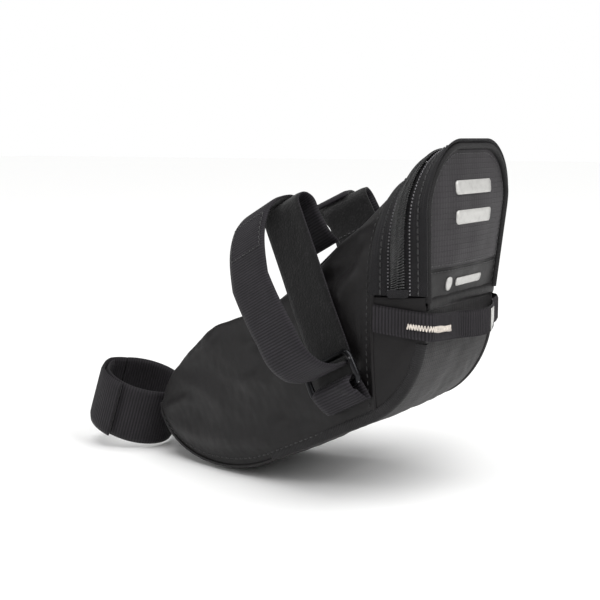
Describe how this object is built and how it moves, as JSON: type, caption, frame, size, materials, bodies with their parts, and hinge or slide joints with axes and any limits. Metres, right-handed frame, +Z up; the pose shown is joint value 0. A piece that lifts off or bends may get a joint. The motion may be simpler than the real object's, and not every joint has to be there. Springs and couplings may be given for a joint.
{
  "type": "bicycle saddle bag",
  "caption": "Wedge-shaped saddle bag with an arched zipped lid at the rear, two hook-and-loop straps over the saddle rails, a seatpost strap and a webbing light loop.",
  "frame": {"origin": "midway between the axes of the two saddle rails, at the middle of the rail straps", "axes": "+Z up, -Y to the rear of the bicycle (the lid faces -Y), +Y to the seatpost, +X to the rider's right; the bag is symmetric about X = 0 but for the zip slider, the light loop's sewing and the end of the seatpost strap"},
  "size_m": [0.1148, 0.1843, 0.1313],
  "materials": {
    "smooth_nylon": "satin coated nylon, plain weave, soft creases",
    "ripstop_nylon": "matte ripstop nylon with a fine dashed grid",
    "lining": "plain coated nylon lining",
    "webbing": "ribbed nylon webbing, matte",
    "strap_pile": "hook-and-loop webbing, fuzzy pile side out",
    "grosgrain": "fine-ribbed grosgrain tape, topstitched",
    "zip_tape": "woven zip tape, chevron twill",
    "zip_coil": "nylon coil, glossy",
    "reflective_print": "silver reflective film",
    "pale_thread": "cream bartack thread",
    "foam": "closed-cell foam sheet",
    "black_metal": "black plated wire and die-cast zinc, worn to silver at the edges"
  },
  "bodies": {
    "bag": {"top_panel_front": "smooth_nylon", "top_panel_rear": "smooth_nylon", "base_panel_front": "ripstop_nylon", "base_panel_rear": "ripstop_nylon", "base_stiffener": "foam", "front_tip_binding": "grosgrain", "side_panel_left": "smooth_nylon", "corner_panel_left": "smooth_nylon", "edge_binding_left": "grosgrain", "anchor_patch_left": "webbing", "rail_strap_left": "strap_pile", "ring_tab_left": "webbing", "side_panel_right": "smooth_nylon", "corner_panel_right": "smooth_nylon", "edge_binding_right": "grosgrain", "anchor_patch_right": "webbing", "rail_strap_right": "strap_pile", "ring_tab_right": "webbing", "zip_tape_body": "zip_tape", "zip_coil_body": "zip_coil", "light_loop": "webbing", "light_loop_stitching": "pale_thread", "light_loop_reflector": "reflective_print", "post_strap": "webbing"},
    "lid": {"zip_tape_lid": "zip_tape", "zip_coil_lid": "zip_coil", "lid_welt": "grosgrain", "lid_panel_upper": "ripstop_nylon", "lid_panel_lower": "smooth_nylon", "lid_lining": "lining", "reflective_bar_upper": "reflective_print", "reflective_bar_lower": "reflective_print", "reflective_dot": "reflective_print", "reflective_dash": "reflective_print"},
    "slider": {"zip_slider": "black_metal"},
    "puller": {"puller_link": "black_metal", "puller_tab": "webbing"},
    "ring_left": {"strap_ring_left": "black_metal"},
    "ring_right": {"strap_ring_right": "black_metal"},
    "tail_left": {"rail_strap_tail_left": "webbing"},
    "tail_right": {"rail_strap_tail_right": "webbing"},
    "post_tail": {"post_strap_tail": "webbing"}
  },
  "joints": [
    {"name": "lid_fold", "type": "hinge", "parent": "bag", "child": "lid", "pos_m": [0, -0.06116, -0.029], "axis": [1, 0, 0], "range_deg": [0, 90]},
    {"name": "zip_travel", "type": "slide", "parent": "bag", "child": "slider", "axis": [0.0892, -0.0301, 0.9956], "range_m": [0, 0.006]},
    {"name": "puller_swing", "type": "hinge", "parent": "slider", "child": "puller", "pos_m": [0.0391, -0.0516, -0.01795], "axis": [-0.2367, -0.9715, -0.0081], "range_deg": [0, 120]},
    {"name": "ring_left_tilt", "type": "hinge", "parent": "bag", "child": "ring_left", "pos_m": [-0.0383, -0.02878, -0.06148], "axis": [-0.1848, -0.8716, 0.454], "range_deg": [0, 5]},
    {"name": "ring_right_tilt", "type": "hinge", "parent": "bag", "child": "ring_right", "pos_m": [0.0383, -0.02878, -0.06148], "axis": [-0.1848, 0.8716, -0.454], "range_deg": [0, 5]},
    {"name": "tail_left_peel", "type": "hinge", "parent": "bag", "child": "tail_left", "pos_m": [-0.05425, -0.0083, -0.04408], "axis": [-0.1848, -0.8716, 0.454], "range_deg": [0, 110]},
    {"name": "tail_right_peel", "type": "hinge", "parent": "bag", "child": "tail_right", "pos_m": [0.05425, -0.0083, -0.04408], "axis": [-0.1848, 0.8716, -0.454], "range_deg": [0, 110]},
    {"name": "post_tail_peel", "type": "hinge", "parent": "bag", "child": "post_tail", "pos_m": [-0.002, 0.11096, -0.07982], "axis": [0, 0.3256, -0.9455], "range_deg": [0, 80]}
  ]
}
